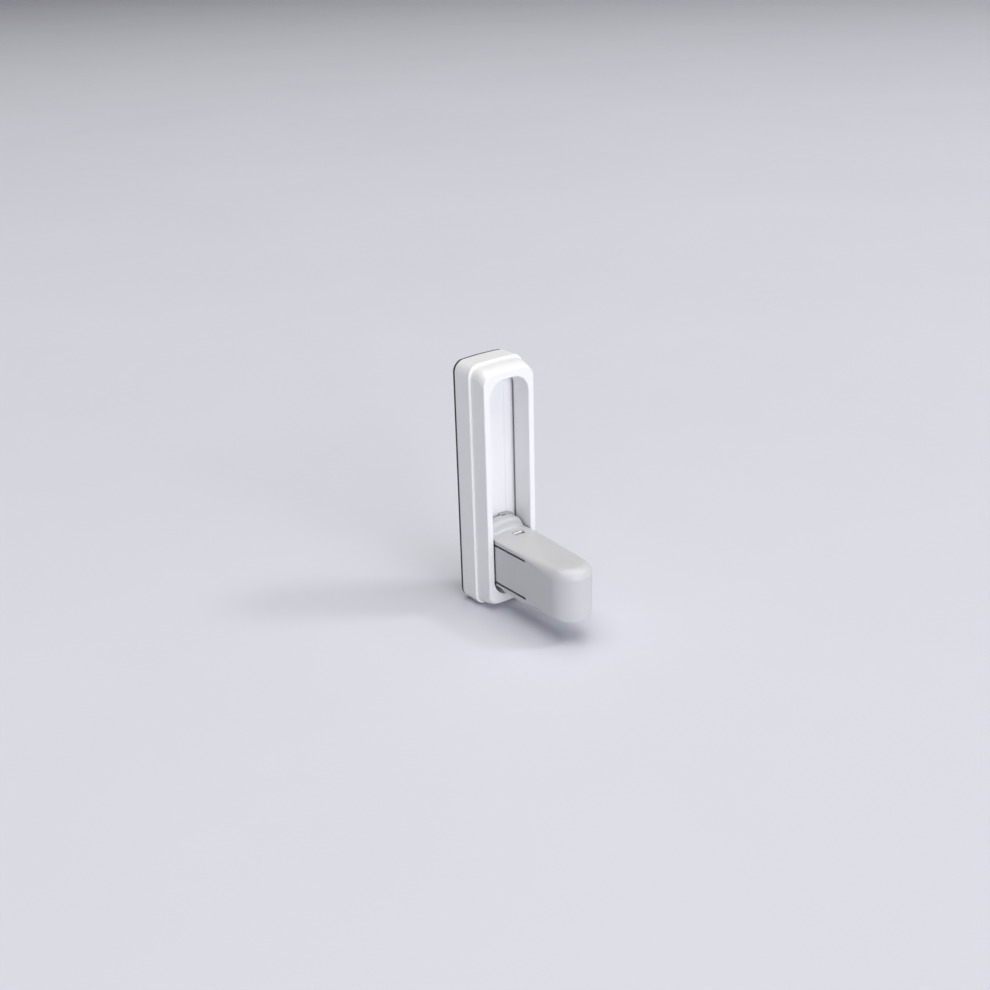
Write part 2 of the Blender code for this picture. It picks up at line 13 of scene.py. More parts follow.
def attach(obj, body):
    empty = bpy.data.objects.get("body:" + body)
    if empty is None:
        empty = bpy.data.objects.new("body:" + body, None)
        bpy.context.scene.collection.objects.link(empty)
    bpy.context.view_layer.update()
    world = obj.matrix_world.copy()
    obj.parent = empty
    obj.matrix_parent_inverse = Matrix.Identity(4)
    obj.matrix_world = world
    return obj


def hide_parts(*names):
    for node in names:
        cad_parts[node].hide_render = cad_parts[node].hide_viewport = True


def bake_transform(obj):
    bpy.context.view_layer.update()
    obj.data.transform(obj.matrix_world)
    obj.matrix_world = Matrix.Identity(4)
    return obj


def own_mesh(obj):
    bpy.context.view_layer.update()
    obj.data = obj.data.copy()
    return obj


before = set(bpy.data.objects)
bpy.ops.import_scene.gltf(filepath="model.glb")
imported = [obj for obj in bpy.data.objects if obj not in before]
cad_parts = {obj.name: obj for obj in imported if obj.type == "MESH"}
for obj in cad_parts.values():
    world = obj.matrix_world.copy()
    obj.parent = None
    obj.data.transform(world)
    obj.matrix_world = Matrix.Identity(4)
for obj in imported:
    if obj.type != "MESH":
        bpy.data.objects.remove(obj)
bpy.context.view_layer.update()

MM = 0.001

# ------------------------------------------------------------------ sizes shared with the construction
BASE_HX, BASE_HZ, BASE_CROWN = 15.0, 58.0, 0.6
PAD_HX, PAD_HZ, PAD_T = 14.8, 57.8, 0.9
SHELL_BACK, SHELL_FRONT, FLOOR_Y, SHELF_Y = -1.2, -11.3, -3.2, -8.5
FRAME_HX, FRAME_FRONT, FRAME_UNDER = 13.75, -20.2, -10.9
LIP_HX, LIP_Y = 11.6, -9.75
CHANNEL_HX, CHANNEL_HZ, CHANNEL_R = 10.7, 51.3, 8.0
TRACK_Y = -8.5
BOSS_X, BOSS_Z = 8.5, 53.0
PITCH, TEETH = 2.75, 30
RACK_TIP, RACK_ROOT, RACK_BACK = 11.9, 12.8, 13.5
RACK_Y0, RACK_Y1, RACK_Z0 = -8.8, -10.6, -41.5
ARM_HX, ARM_Z0, ARM_Z1, ARM_ZC = 10.2, -46.2, -21.7, -33.75
TIP_Y, WALL = -58.5, 1.6
COLLAR_Y0, COLLAR_Y1 = -10.8, -16.0
COLLAR_HX, COLLAR_Z0, COLLAR_Z1 = 10.3, -49.8, -16.6
FOOT_HX, FOOT_Z0, FOOT_Z1, STEP_X = 11.6, -50.0, -16.35, 1.3
FOOT_Y0, FOOT_Y1, FLANGE_Y1 = -8.8, -10.5, -9.45
HINGE_Y, TAB_FREE_Y = -41.4, -16.3
ROOT_Y = -40.9  # where the press tab's skin joins the arm's
SLIT_TOP, SLIT_BOTTOM, SLIT_W = -24.9, -43.45, 1.1
SPRING_Y, SPRING_R, WIRE_R, SPRING_HX, SPRING_TURNS = -22.0, 2.2, 0.3, 6.75, 6
SNAP_X0, SNAP_X1, SNAP_Y0, SNAP_Y1 = -0.6, 4.8, -20.45, -23.5
HOOK_X0, HOOK_X1, HOOK_Y0, HOOK_Y1 = -0.3, 4.5, -20.75, -21.75
FOOT_SCREWS = (-27.2, -40.6)


# ------------------------------------------------------------------ mesh helpers
def new_object(name, bm, material=None):
    bmesh.ops.recalc_face_normals(bm, faces=bm.faces)
    for v in bm.verts:
        v.co *= MM
    mesh = bpy.data.meshes.new(name)
    bm.to_mesh(mesh)
    bm.free()
    obj = bpy.data.objects.new(name, mesh)
    bpy.context.scene.collection.objects.link(obj)
    if material is not None:
        mesh.materials.append(material)
    return obj


def loft(bm, rings, closed=False):
    """Skins rings of equal length with quads. Ends are capped unless the last ring joins the first."""
    made = [[bm.verts.new(p) for p in ring] for ring in rings]
    n = len(rings[0])
    pairs = list(zip(made, made[1:]))
    if closed:
        pairs.append((made[-1], made[0]))
    for a, b in pairs:
        for i in range(n):
            j = (i + 1) % n
            bm.faces.new((a[i], a[j], b[j], b[i]))
    if not closed:
        bm.faces.new(list(reversed(made[0])))
        bm.faces.new(made[-1])


def box(bm, x0, x1, y0, y1, z0, z1):
    loft(bm, [[(x, y, z) for x, z in ((x0, z0), (x1, z0), (x1, z1), (x0, z1))] for y in (y0, y1)])


def prism_y(bm, points, y0, y1):
    loft(bm, [[(x, y, z) for x, z in points] for y in (y0, y1)])


def prism_x(bm, points, x0, x1):
    loft(bm, [[(x, y, z) for y, z in points] for x in (x0, x1)])


def turned_y(bm, x, z, profile, segments=32):
    loft(bm, [[(x + r * math.cos(2 * math.pi * i / segments), y, z + r * math.sin(2 * math.pi * i / segments))
               for i in range(segments)] for r, y in profile])


def cut(obj, operation, build):
    """Queues a Boolean with a shape that is thrown away afterwards."""
    bm = bmesh.new()
    build(bm)
    other = new_object("operand", bm)
    other.hide_render = True
    mod = obj.modifiers.new("Boolean", "BOOLEAN")
    mod.operation = operation
    mod.solver = "EXACT"
    mod.object = other
    return other


def settle(obj):
    """Applies the queued Booleans and removes their operands."""
    operands = [m.object for m in obj.modifiers if m.type == "BOOLEAN"]
    bpy.context.view_layer.update()
    mesh = bpy.data.meshes.new_from_object(obj.evaluated_get(bpy.context.evaluated_depsgraph_get()))
    old, name = obj.data, obj.data.name
    obj.modifiers.clear()
    obj.data = mesh
    bpy.data.meshes.remove(old)
    mesh.name = name
    for other in operands:
        data = other.data
        bpy.data.objects.remove(other)
        bpy.data.meshes.remove(data)
    bm = bmesh.new()
    bm.from_mesh(mesh)
    bmesh.ops.remove_doubles(bm, verts=bm.verts, dist=2e-7)
    bmesh.ops.dissolve_degenerate(bm, edges=bm.edges, dist=1e-7)
    bm.to_mesh(mesh)
    bm.free()
    return obj


def soften(obj, width, where=lambda p: True, segments=2, angle=50):
    """Rounds off the sharp edges whose middle, in millimetres, is in the chosen region."""
    bm = bmesh.new()
    bm.from_mesh(obj.data)
    edges = []
    for e in bm.edges:
        if len(e.link_faces) == 2 and e.calc_face_angle(0) > math.radians(angle):
            middle = (e.verts[0].co + e.verts[1].co) / 2 / MM
            if where(middle):
                edges.append(e)
    bmesh.ops.bevel(bm, geom=edges, offset=width * MM, offset_type="OFFSET", segments=segments, profile=0.5,
                    affect="EDGES", clamp_overlap=True, loop_slide=True)
    bmesh.ops.dissolve_degenerate(bm, edges=bm.edges, dist=1e-7)
    bm.to_mesh(obj.data)
    bm.free()
    return obj


def shade(obj, angle=34):
    obj.data.shade_smooth()
    obj.data.set_sharp_from_angle(angle=math.radians(angle))
    mod = obj.modifiers.new("Weighted normals", "WEIGHTED_NORMAL")
    mod.mode = "FACE_AREA"
    mod.weight = 100
    mod.keep_sharp = True
    return obj


# ------------------------------------------------------------------ outlines
def outline(hx, z0, z1, r0, r1, crown0=0.0, crown1=0.0, seg=16, mid=12):
    """A rounded rectangle in X and Z. r0 and crown0 are at the lower end, r1 and crown1 at the upper one."""
    pts = []

    def arc(cx, cz, r, a0, a1, bend):
        for i in range(seg + 1):
            a = math.radians(a0 + (a1 - a0) * i / seg)
            x, z = cx + r * math.cos(a), cz + r * math.sin(a)
            pts.append((x, z + bend * (x / hx) ** 2))

    def run(xa, xb, z, bend):
        for i in range(1, mid):
            x = xa + (xb - xa) * i / mid
            pts.append((x, z + bend * (x / hx) ** 2))

    arc(hx - r0, z0 + r0, r0, -90, 0, crown0)
    arc(hx - r1, z1 - r1, r1, 0, 90, -crown1)
    run(hx - r1, -(hx - r1), z1, -crown1)
    arc(-(hx - r1), z1 - r1, r1, 90, 180, -crown1)
    arc(-(hx - r0), z0 + r0, r0, 180, 270, crown0)
    run(-(hx - r0), hx - r0, z0, crown0)
    return pts


def level(points, y):
    return [(x, y, z) for x, z in points]


def plan(hx, y_back, y_centre, z, seg=48, back=()):
    """The arm seen from above: straight sides and a half-round tip."""
    pts = [(hx, y_back, z)] + [(hx, y, z) for y in back]
    for i in range(seg + 1):
        a = math.pi * i / seg
        pts.append((hx * math.cos(a), y_centre - hx * math.sin(a), z))
    pts += [(-hx, y, z) for y in reversed(back)]
    pts.append((-hx, y_back, z))
    return pts


def quarter(steps, a0=0.0, a1=90.0):
    return [math.radians(a0 + (a1 - a0) * i / steps) for i in range(steps + 1)]


# ------------------------------------------------------------------ materials
def shader(name):
    mat = bpy.data.materials.new(name)
    mat.use_nodes = True
    tree = mat.node_tree
    return mat, tree, tree.nodes["Principled BSDF"]


def noise(tree, coords, scale, detail=2.0, rough=0.5):
    node = tree.nodes.new("ShaderNodeTexNoise")
    node.inputs["Scale"].default_value = scale
    node.inputs["Detail"].default_value = detail
    node.inputs["Roughness"].default_value = rough
    tree.links.new(coords, node.inputs["Vector"])
    return node


def spread(tree, value, low, high, a=0.3, b=0.7):
    node = tree.nodes.new("ShaderNodeMapRange")
    node.inputs["From Min"].default_value = a
    node.inputs["From Max"].default_value = b
    node.inputs["To Min"].default_value = low
    node.inputs["To Max"].default_value = high
    tree.links.new(value, node.inputs["Value"])
    return node.outputs["Result"]


def mixed(tree, factor, a, b, blend_type="MIX"):
    node = tree.nodes.new("ShaderNodeMix")
    node.data_type = "RGBA"
    node.blend_type = blend_type
    sockets = {s.identifier: s for s in node.inputs}
    for key, value in (("Factor_Float", factor), ("A_Color", a), ("B_Color", b)):
        if hasattr(value, "is_linked"):
            tree.links.new(value, sockets[key])
        elif isinstance(value, (int, float)):
            sockets[key].default_value = value
        else:
            sockets[key].default_value = (*value, 1.0)
    return next(s for s in node.outputs if s.identifier == "Result_Color")


def add(tree, a, b, weight):
    node = tree.nodes.new("ShaderNodeMath")
    node.operation = "MULTIPLY_ADD"
    node.inputs[1].default_value = weight
    tree.links.new(b, node.inputs[0])
    tree.links.new(a, node.inputs[2])
    return node.outputs[0]


def moulded(name, colour, rough, grain_mm=0.28, depth_um=6.0, ior=1.49, tone=0.02, crease_shade=0.10, swirl=0.5, recess=None,
             mottle=0.035):
    """Injection-moulded plastic: a fine eroded grain and faint flow marks, with painted shade where faces meet and, if
    asked, near-black painted shade deep in slits and recesses.
    """
    mat, tree, bsdf = shader(name)
    coords = tree.nodes.new("ShaderNodeTexCoord").outputs["Object"]
    broad = noise(tree, coords, 45.0, 3.0, 0.55)
    flow = noise(tree, coords, 260.0, 4.0, 0.6)
    fine = noise(tree, coords, 1000.0 / grain_mm, 2.0, 0.6)
    coarse = noise(tree, coords, 1000.0 / (grain_mm * 2.7), 2.0, 0.5)
    dark = tuple(c * (1 - tone) for c in colour)
    light = tuple(min(1.0, c * (1 + tone * 0.6)) for c in colour)
    base = mixed(tree, spread(tree, broad.outputs["Fac"], 0.0, 1.0), dark, light)
    if crease_shade or recess:
        near = tree.nodes.new("ShaderNodeAmbientOcclusion")
        near.samples = 6
        near.inputs["Distance"].default_value = 0.0016
    # painted shade: where ambient occlusion finds faces close by, in creases and corners, the colour darkens towards a
    # warm grey
    if crease_shade:
        crease_shade_mask = spread(tree, near.outputs["AO"], crease_shade, 0.0, 0.15, 0.75)
        base = mixed(tree, crease_shade_mask, base, tuple(c * k for c, k in zip(colour, (0.55, 0.53, 0.50))))
    # painted shade: where ambient occlusion is low, down in slits and recesses, the colour goes nearly black and the
    # specular level drops
    if recess:
        recess_shade_mask = spread(tree, near.outputs["AO"], 0.97, 0.0, *recess)
        base = mixed(tree, recess_shade_mask, base, tuple(c * 0.04 for c in colour))
        tree.links.new(spread(tree, near.outputs["AO"], 0.04, 0.5, *recess), bsdf.inputs["Specular IOR Level"])
    tree.links.new(base, bsdf.inputs["Base Color"])
    dull = spread(tree, flow.outputs["Fac"], rough - mottle, rough + mottle)
    dull = add(tree, dull, fine.outputs["Fac"], mottle * 0.8)
    tree.links.new(dull, bsdf.inputs["Roughness"])
    height = add(tree, fine.outputs["Fac"], coarse.outputs["Fac"], 0.8)
    height = add(tree, height, flow.outputs["Fac"], swirl)
    bump = tree.nodes.new("ShaderNodeBump")
    bump.inputs["Strength"].default_value = 1.0
    bump.inputs["Distance"].default_value = depth_um * 1e-6
    tree.links.new(height, bump.inputs["Height"])
    tree.links.new(bump.outputs["Normal"], bsdf.inputs["Normal"])
    bsdf.inputs["IOR"].default_value = ior
    return mat


def metal(name, colour, rough, streak=0.5, axis="Y"):
    """Plated or drawn steel: streaks along the piece and a mottled sheen."""
    mat, tree, bsdf = shader(name)
    coords = tree.nodes.new("ShaderNodeTexCoord").outputs["Object"]
    stretch = tree.nodes.new("ShaderNodeMapping")
    stretch.inputs["Scale"].default_value = {"X": (0.06, 1, 1), "Y": (1, 0.06, 1), "Z": (1, 1, 0.06)}[axis]
    tree.links.new(coords, stretch.inputs["Vector"])
    lines = noise(tree, stretch.outputs["Vector"], 6000.0, 3.0, 0.6)
    cloud = noise(tree, coords, 900.0, 3.0, 0.6)
    base = mixed(tree, spread(tree, cloud.outputs["Fac"], 0.0, 1.0), tuple(c * 0.86 for c in colour), colour)
    tree.links.new(base, bsdf.inputs["Base Color"])
    tree.links.new(spread(tree, lines.outputs["Fac"], rough - 0.08, rough + 0.14), bsdf.inputs["Roughness"])
    bump = tree.nodes.new("ShaderNodeBump")
    bump.inputs["Strength"].default_value = streak
    bump.inputs["Distance"].default_value = 6e-6
    tree.links.new(lines.outputs["Fac"], bump.inputs["Height"])
    tree.links.new(bump.outputs["Normal"], bsdf.inputs["Normal"])
    bsdf.inputs["Metallic"].default_value = 1.0
    return mat


def foam(name, colour):
    """Closed-cell foam tape: small open pores on its cut edge and a skin with a weak sheen."""
    mat, tree, bsdf = shader(name)
    coords = tree.nodes.new("ShaderNodeTexCoord").outputs["Object"]
    cells = tree.nodes.new("ShaderNodeTexVoronoi")
    cells.inputs["Scale"].default_value = 3600.0
    tree.links.new(coords, cells.inputs["Vector"])
    cloud = noise(tree, coords, 300.0, 4.0, 0.6)
    pore = spread(tree, cells.outputs["Distance"], 1.0, 0.0, 0.05, 0.42)
    base = mixed(tree, spread(tree, cloud.outputs["Fac"], 0.0, 1.0), tuple(c * 0.93 for c in colour), colour)
    base = mixed(tree, pore, base, tuple(c * 0.68 for c in colour))
    tree.links.new(base, bsdf.inputs["Base Color"])
    tree.links.new(spread(tree, cloud.outputs["Fac"], 0.62, 0.86), bsdf.inputs["Roughness"])
    bump = tree.nodes.new("ShaderNodeBump")
    bump.inputs["Strength"].default_value = 0.8
    bump.inputs["Distance"].default_value = 4e-5
    tree.links.new(cells.outputs["Distance"], bump.inputs["Height"])
    tree.links.new(bump.outputs["Normal"], bsdf.inputs["Normal"])
    return mat


# several plastics below get painted shade in their creases; the arm and core plastics also get near-black painted
# shade in slits and recesses
BASE_WHITE = moulded("base_white", (0.84, 0.842, 0.85), 0.285, grain_mm=0.5, depth_um=0.4, tone=0.003, crease_shade=0.0, swirl=0.1,
                    mottle=0.005)
TRACK_WHITE = moulded("track_white", (0.85, 0.855, 0.865), 0.315, grain_mm=0.5, depth_um=0.4, tone=0.003, crease_shade=0.0, swirl=0.1,
                     mottle=0.005)
ARM_GREY = moulded("arm_grey", (0.56, 0.563, 0.578), 0.34, grain_mm=0.26, depth_um=4.0, tone=0.012, crease_shade=0.06, swirl=0.2,
                    recess=(0.42, 0.66))
CORE_WHITE = moulded("core_white", (0.80, 0.80, 0.80), 0.45, grain_mm=0.4, depth_um=5.0, tone=0.03, crease_shade=0.08,
                     recess=(0.45, 0.80))
ACETAL = moulded("acetal", (0.80, 0.80, 0.755), 0.33, grain_mm=0.5, depth_um=2.5, tone=0.02, crease_shade=0.12)
STEEL = metal("spring_steel", (0.62, 0.62, 0.64), 0.26, 0.4, "X")
ZINC = metal("zinc_plated", (0.60, 0.61, 0.62), 0.30, 0.6, "Y")
# the foam's near-black colour also stands for the shadowed gap behind the shell, as painted shadow
FOAM = foam("foam_tape", (0.06, 0.06, 0.065))

# ------------------------------------------------------------------ adhesive pad
# the pad is real foam tape, made near-black and almost as large as the shell, so its edge also gives a dark line of
# painted shadow where the gap behind the shell is in shade
bm = bmesh.new()


def pad_ring(inset, y):
    return level(outline(PAD_HX - inset, -(PAD_HZ - inset), PAD_HZ - inset, 4.8 - inset, 4.8 - inset,
                         BASE_CROWN, BASE_CROWN, seg=14), y)


loft(bm, [pad_ring(0.10, 0.0), pad_ring(0.03, -0.03), pad_ring(0.0, -0.12), pad_ring(0.06, -0.30),
          pad_ring(0.10, -0.45), pad_ring(0.06, -0.60), pad_ring(0.0, -0.78), pad_ring(0.03, -0.87),
          pad_ring(0.10, -PAD_T)])
pad = shade(new_object("foam_pad", bm, FOAM))
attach(pad, "base")
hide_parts("adhesive_pad")

# ------------------------------------------------------------------ rear shell
bm = bmesh.new()


def shell_ring(inset, y):
    return level(outline(BASE_HX - inset, -(BASE_HZ - inset), BASE_HZ - inset, 5.0 - inset, 5.0 - inset,
                         BASE_CROWN, BASE_CROWN), y)


rings = [shell_ring(0.5 * (1 - math.sin(a)), SHELL_BACK - 0.5 * (1 - math.cos(a))) for a in quarter(6)]
rings += [shell_ring(0.4 * (1 - math.cos(a)), SHELL_FRONT + 0.4 * (1 - math.sin(a))) for a in quarter(6)]
rings += [level(outline(hx, -hz, hz, r, r, BASE_CROWN, BASE_CROWN), y) for hx, hz, r, y in
          ((13.62, 56.72, 3.9, SHELL_FRONT), (13.62, 56.72, 3.9, SHELL_FRONT + 0.2), (13.8, 56.8, 3.9, SHELL_FRONT + 0.3),
           (13.8, 56.8, 3.9, SHELF_Y),
           (12.0, 56.0, 3.0, SHELF_Y), (12.0, 56.0, 3.0, FLOOR_Y))]
loft(bm, rings)
shell = new_object("base_shell", bm, BASE_WHITE)


def at_bosses(b, profile, segments=32):
    for sx in (-1, 1):
        for sz in (-1, 1):
            turned_y(b, sx * BOSS_X, sz * BOSS_Z, profile, segments)


cut(shell, "UNION", lambda b: at_bosses(b, [(2.7, -2.4), (2.7, -5.8)]))
cut(shell, "DIFFERENCE", lambda b: at_bosses(b, [(2.35, -0.6), (2.35, -2.7), (1.35, -2.7), (1.35, -7.0)]))
settle(shell)
shade(shell)
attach(shell, "base")
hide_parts("rear_shell")

# ------------------------------------------------------------------ front frame
bm = bmesh.new()


def frame_ring(hx, hz, r, y):
    return level(outline(hx, -hz, hz, r, r, BASE_CROWN, BASE_CROWN), y)


def channel_ring(grow, y):
    return level(outline(CHANNEL_HX + grow, -CHANNEL_HZ - grow, CHANNEL_HZ + grow, CHANNEL_R + grow,
                         CHANNEL_R + grow), y)


rings = [frame_ring(13.45, 56.55, 4.6, FRAME_UNDER), frame_ring(13.45, 56.55, 4.6, -11.33),
         frame_ring(FRAME_HX - 0.03, 56.97, 4.4, -11.33), frame_ring(FRAME_HX, 57.0, 4.4, -11.36)]
for i in range(1, 19):
    y = -11.36 - (19.6 - 11.36) * i / 18
    s = max(0.0, (-y - 12.0) / 7.6)
    rings.append(frame_ring(FRAME_HX, 57.0 - 1.6 * s ** 2.6, 4.4 + 0.9 * s, y))
for a in quarter(8)[1:]:
    rings.append(frame_ring(FRAME_HX - 0.5 * (1 - math.cos(a)), 55.4 - 0.33 * math.sin(a) - 0.42 * (1 - math.cos(a)),
                            5.3 - 0.4 * (1 - math.cos(a)), -19.6 - 0.6 * math.sin(a)))
rings += [channel_ring(0.45 * (1 - math.sin(a)), FRAME_FRONT + 0.45 * (1 - math.cos(a))) for a in quarter(6)]
rings.append(channel_ring(0.0, -15.5))
rings += [channel_ring(0.15 * (1 - math.cos(a)), LIP_Y - 0.15 * (1 - math.sin(a))) for a in quarter(3)]
rings += [channel_ring(LIP_HX - CHANNEL_HX, LIP_Y), channel_ring(LIP_HX - CHANNEL_HX, FRAME_UNDER)]
loft(bm, rings, closed=True)
frame_piece = new_object("front_cover", bm, BASE_WHITE)


def frame_blocks(b):
    for s in (-1, 1):
        za, zb = sorted((s * 51.45, s * 55.6))
        box(b, -11.0, 11.0, -8.8, -11.2, za, zb)


cut(frame_piece, "UNION", frame_blocks)
cut(frame_piece, "UNION", lambda b: at_bosses(b, [(2.3, -6.1), (2.3, -10.0)]))
cut(frame_piece, "DIFFERENCE", lambda b: at_bosses(b, [(1.3, -5.0), (1.3, -10.4)]))
settle(frame_piece)
shade(frame_piece)
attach(frame_piece, "base")
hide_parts("front_frame")

# ------------------------------------------------------------------ track plate
bm = bmesh.new()


def track_section():
    half = [(5.50, TRACK_Y), (5.6, TRACK_Y + 0.05), (5.72, TRACK_Y + 0.30), (5.85, TRACK_Y + 0.36),
            (5.98, TRACK_Y + 0.30), (6.1, TRACK_Y + 0.05), (6.2, TRACK_Y)]
    for a in quarter(12):
        half.append((9.0 + 2.7 * math.sin(a), TRACK_Y + 0.9 * (1 - math.cos(a))))
    half += [(11.7, -3.5), (10.2, -3.5), (10.2, -6.9), (0.9, -6.9), (0.9, -3.5)]
    return half + [(-x, y) for x, y in reversed(half)]


loft(bm, [[(x, y, z) for x, y in track_section()] for z in (-50.0, 50.0)])
track = new_object("track_floor", bm, TRACK_WHITE)


def tongues(b):
    for s in (-1, 1):
        za, zb = sorted((s * 49.0, s * 54.6))
        box(b, -5.6, 5.6, -7.0, TRACK_Y, za, zb)


cut(track, "UNION", tongues)
settle(track)
soften(track, 0.15, lambda p: abs(p.z) > 49.9)
shade(track)
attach(track, "base")
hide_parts("track_plate")


# ------------------------------------------------------------------ racks
def rack_profile(side):
    z_top = RACK_Z0 + TEETH * PITCH
    inner = [(RACK_ROOT, RACK_Z0)]
    for k in range(TEETH):
        z = RACK_Z0 + k * PITCH
        inner += [(RACK_ROOT, z + 1.05), (RACK_TIP, z + 2.35), (RACK_TIP, z + PITCH)]
        if k < TEETH - 1:
            inner.append((RACK_ROOT, z + PITCH))
    pts = [(RACK_BACK, RACK_Z0), (RACK_BACK, z_top)] + list(reversed(inner))
    return [(side * x, z) for x, z in pts]


for side, word in ((-1, "left"), (1, "right")):
    bm = bmesh.new()
    prism_y(bm, rack_profile(side), RACK_Y0, RACK_Y1)
    rack = new_object(f"toothed_rack_{word}", bm, ACETAL)
    soften(rack, 0.08, angle=30)
    shade(rack)
    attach(rack, "base")
    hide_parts(f"rack_{word}")

# ------------------------------------------------------------------ slide foot
bm = bmesh.new()
SEG, MID = 12, 8


def foot_outline(hx, inset, r0):
    pts = outline(hx, FOOT_Z0 + inset, FOOT_Z1 - inset, r0, 5.4, 0.4, 1.4, seg=SEG, mid=MID)
    z_low, z_high, depth = -38.9 - inset, -28.6 + inset, 5.0 - inset
    right = [(hx, z_low), (depth, z_low), (depth, z_high), (hx, z_high)]
    left = [(-x, z) for x, z in reversed(right)]
    first, rest = pts[:SEG + 1], pts[SEG + 1:]
    upper, lower = rest[:2 * (SEG + 1) + MID - 1], rest[2 * (SEG + 1) + MID - 1:]
    return first + right + upper + left + lower


edge, body = foot_outline(FOOT_HX, 0.0, 4.2), foot_outline(10.35, 0.12, 7.5)
loft(bm, [level(edge, FOOT_Y0), level(edge, FLANGE_Y1), level(body, FLANGE_Y1), level(body, -10.72)])
foot = new_object("track_foot", bm, ARM_GREY)


def foot_holes(b):
    for z in FOOT_SCREWS:
        turned_y(b, 0, z, [(2.5, -8.4), (2.3, FOOT_Y0 - 0.2), (1.35, -10.05), (1.35, -11.0)])


cut(foot, "DIFFERENCE", lambda b: prism_y(b, [(-13.0, -15.0), (-13.0, -20.2), (STEP_X + 2.6, -20.2),
                                              (STEP_X + 2.6, -19.5), (STEP_X - 0.3, -19.5), (STEP_X - 0.1, -18.4),
                                              (STEP_X, -15.0)], -8.0, -11.5))
cut(foot, "DIFFERENCE", foot_holes)
settle(foot)
soften(foot, 0.12, angle=40)
shade(foot)
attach(foot, "arm")
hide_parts("slide_foot")

# ------------------------------------------------------------------ core of the arm
bm = bmesh.new()
zt, zb = ARM_Z1 - WALL - 0.3, ARM_Z0 + WALL + 0.3
section = [(6.0, zb), (6.0, zb + 1.6), (1.1, zb + 1.6), (1.1, zt - 1.6), (6.0, zt - 1.6), (6.0, zt)]
prism_y(bm, section + [(-x, z) for x, z in reversed(section)], -12.0, -53.0)
core = new_object("arm_beam", bm, CORE_WHITE)


def core_hook(b):
    z0 = zt - 0.6
    pts = [(HOOK_Y0, z0), (HOOK_Y0, ARM_Z1 - 0.12), (HOOK_Y0 - 0.06, ARM_Z1 - 0.05), (HOOK_Y0 - 0.3, ARM_Z1 - 0.09),
           (HOOK_Y1 + 0.06, ARM_Z1 - 0.18), (HOOK_Y1, ARM_Z1 - 0.25), (HOOK_Y1, z0)]
    prism_x(b, pts, HOOK_X0, HOOK_X1)


def core_nose(b):
    box(b, HOOK_X0, 2.7, HOOK_Y1 + 0.5, -22.5, zt - 0.5, ARM_Z1 - 1.1)


def core_holes(b):
    for z in FOOT_SCREWS:
        turned_y(b, 0, z, [(1.3, -10.0), (1.3, -15.3)], 24)
    loft(b, [[(x, SPRING_Y + 3.2 * math.cos(2 * math.pi * i / 32), ARM_ZC + 3.2 * math.sin(2 * math.pi * i / 32))
              for i in range(32)] for x in (-3.0, 3.0)])


cut(core, "UNION", lambda b: box(b, -4.8, 4.8, -10.8, -15.6, zb + 0.05, zt - 0.05))
cut(core, "UNION", core_hook)
cut(core, "UNION", core_nose)
cut(core, "DIFFERENCE", core_holes)
cut(core, "DIFFERENCE", lambda b: box(b, 2.85, 5.2, -22.2, -24.0, zt - 2.2, ARM_Z1 - WALL))
settle(core)
soften(core, 0.12, angle=40)
shade(core)
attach(core, "arm")
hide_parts("arm_core")

# ------------------------------------------------------------------ shell of the arm
bm = bmesh.new()
STATIONS = [-10.9 - (58.5 - 10.9) * i / 40 for i in range(40)]


def upper_edge(y):
    """Width and height of the rounding between the arm's side and its top, which grows towards the tip."""
    t = min(1.0, max(0.0, (-22.0 - y) / 36.5))
    return 4.5 + 0.6 * t, 0.8 + 4.2 * t ** 1.9


def lower_edge(y, bend=0.0):
    grow = min(1.0, max(0.0, (-39.5 - y) / 3.5, (y + 26.5) / 3.0))
    grow = grow * grow * (3 - 2 * grow)
    return 0.5 + 1.7 * grow * math.cos(math.pi / 2 * min(1.0, bend / 50.0))


def arm_ring(reach):
    """A ring round the arm. reach(y, bend) gives how far it stands in from the side, and its height."""
    right, left = [], []
    for y in STATIONS:
        inset, z = reach(y, 0.0)
        right.append((ARM_HX - inset, y, z))
        left.append((inset - ARM_HX, y, z))
    for i in range(49):
        a = 180.0 * i / 48
        inset, z = reach(TIP_Y, min(a, 180.0 - a))
        r = ARM_HX - inset
        right.append((r * math.cos(math.radians(a)), TIP_Y - r * math.sin(math.radians(a)), z))
    return right + list(reversed(left))


def under(a):
    def reach(y, bend):
        u = lower_edge(y, bend)
        return u * (1 - math.sin(a)), ARM_Z0 + u * (1 - math.cos(a))
    return reach


def over(a):
    def reach(y, bend):
        wide, high = upper_edge(y)
        return wide * (1 - math.cos(a)), ARM_Z1 - 0.25 - high * (1 - math.sin(a))
    return reach


def crown(f):
    def reach(y, bend):
        return ARM_HX - f * (ARM_HX - upper_edge(y)[0]), ARM_Z1 - 0.25 * f * f
    return reach


loft(bm, [arm_ring(under(a)) for a in quarter(8)] + [arm_ring(over(a)) for a in quarter(16)]
     + [arm_ring(crown(f)) for f in (0.85, 0.7, 0.55, 0.4, 0.25, 0.1)])
arm = new_object("arm_cover", bm, ARM_GREY)


def collar(b):
    def ring(d, y):
        return level(outline(COLLAR_HX - d, COLLAR_Z0 + d, COLLAR_Z1 - d, 7.6 - d, 4.6 - d, 0.0, 2.0), y)
    loft(b, [ring(0, COLLAR_Y0)] + [ring(1.7 * (1 - math.cos(a)), -14.3 - 1.7 * math.sin(a)) for a in quarter(10)])


